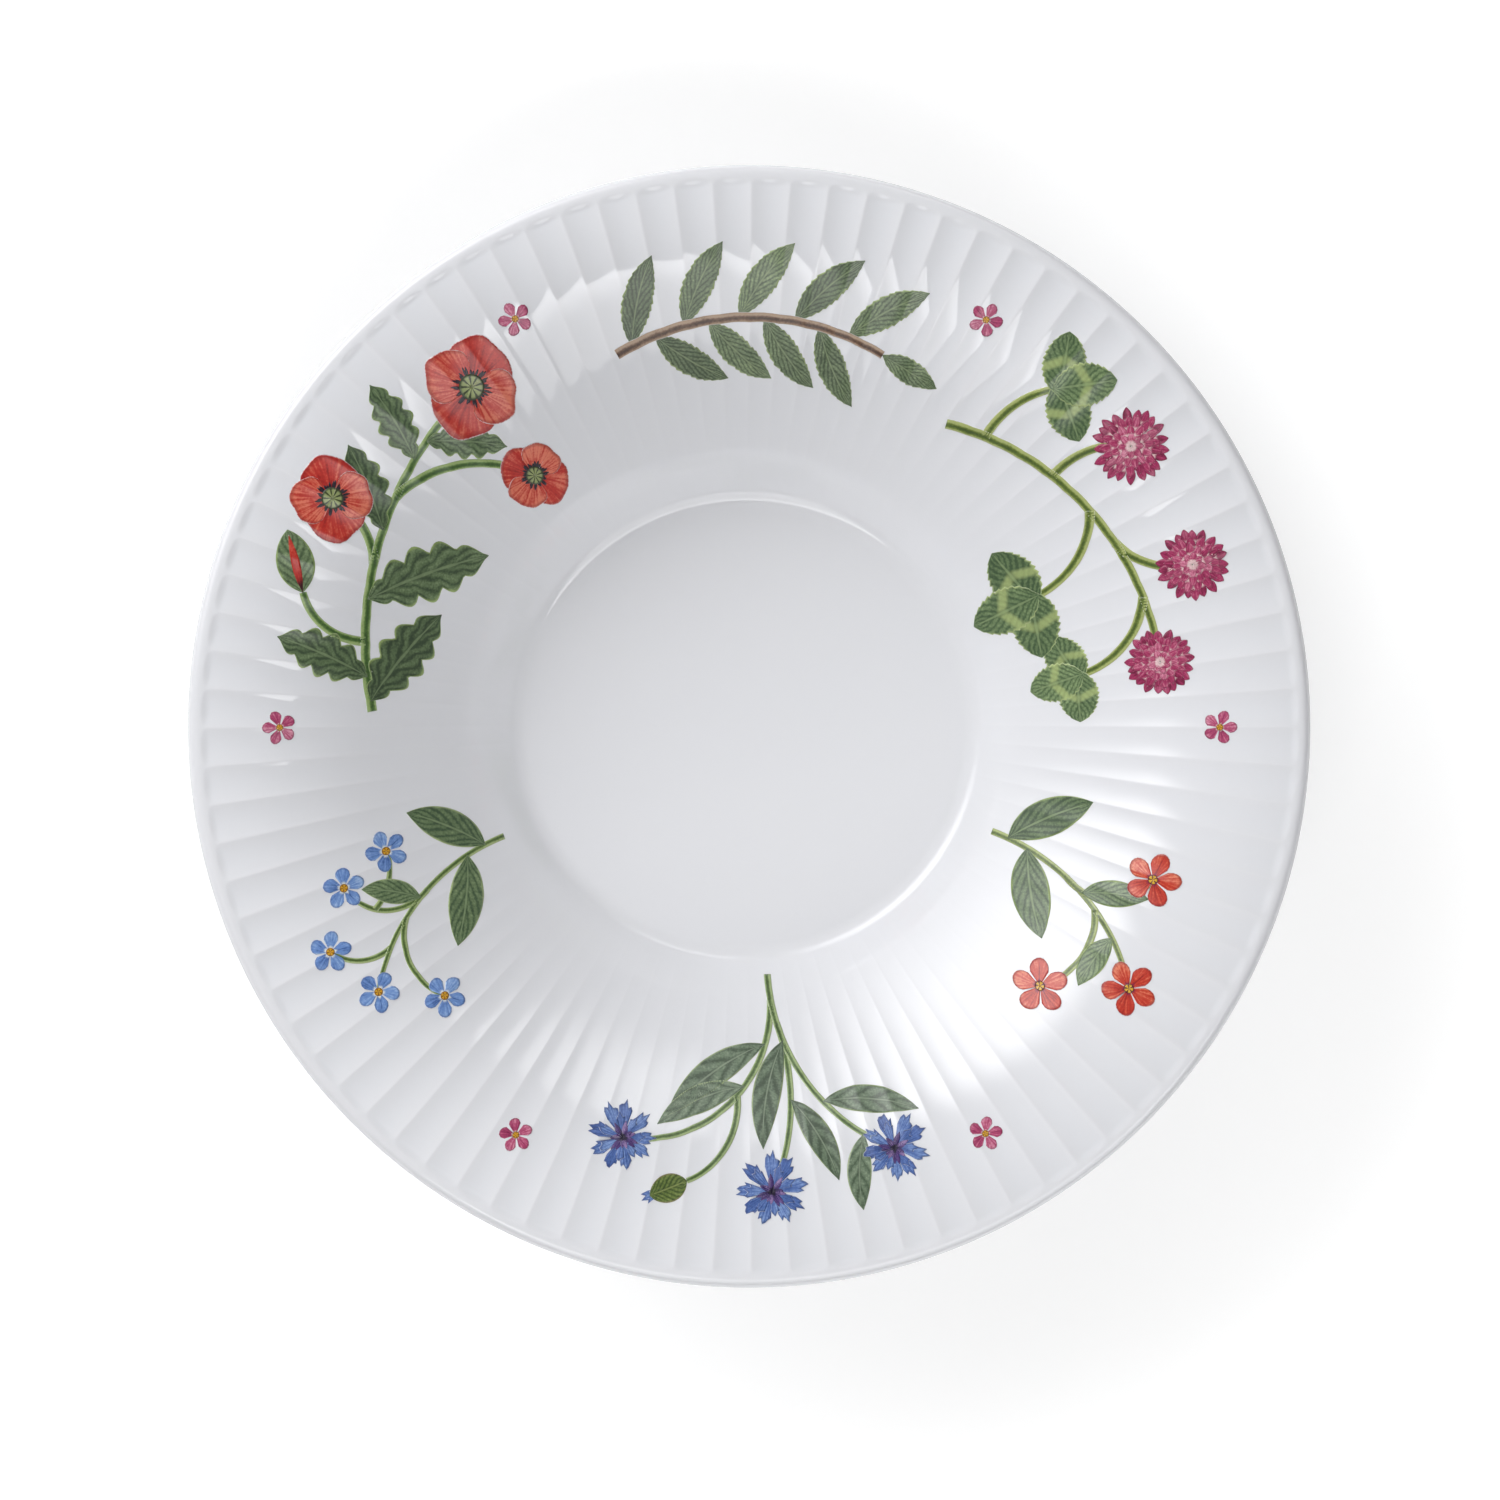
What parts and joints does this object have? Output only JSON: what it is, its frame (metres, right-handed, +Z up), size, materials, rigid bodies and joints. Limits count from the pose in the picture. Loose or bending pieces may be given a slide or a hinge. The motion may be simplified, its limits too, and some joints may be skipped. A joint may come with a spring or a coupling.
{
  "type": "soup plate",
  "caption": "Round deep soup plate of white glazed porcelain with a fluted wall, a wide flared rim, a foot ring and painted flower sprays.",
  "frame": {"origin": "centre of the circle that the foot ring stands on", "axes": "+Z up, out of the open side; +Y towards the top of the picture, +X towards its right side"},
  "size_m": [0.21, 0.21, 0.0417],
  "materials": {
    "porcelain": "clear gloss glaze over white porcelain, bare on the standing edge of the foot ring",
    "poppy_spray_colour": "glossy fired-on colour, a painted spray of poppies",
    "cornflower_spray_colour": "glossy fired-on colour, a painted spray of cornflowers",
    "clover_spray_colour": "glossy fired-on colour, a painted spray of clover",
    "willow_twig_colour": "glossy fired-on colour, a painted spray of willow",
    "forget_me_not_sprig_colour": "glossy fired-on colour, a painted spray of forget-me-nots",
    "pimpernel_sprig_colour": "glossy fired-on colour, a painted spray of pimpernels",
    "loose_blossoms_colour": "glossy fired-on colour, a painted spray of loose blossoms"
  },
  "bodies": {
    "root": {"porcelain_body": "porcelain", "poppy_spray": "poppy_spray_colour", "cornflower_spray": "cornflower_spray_colour", "clover_spray": "clover_spray_colour", "willow_twig": "willow_twig_colour", "forget_me_not_sprig": "forget_me_not_sprig_colour", "pimpernel_sprig": "pimpernel_sprig_colour", "loose_blossoms": "loose_blossoms_colour"}
  },
  "joints": []
}
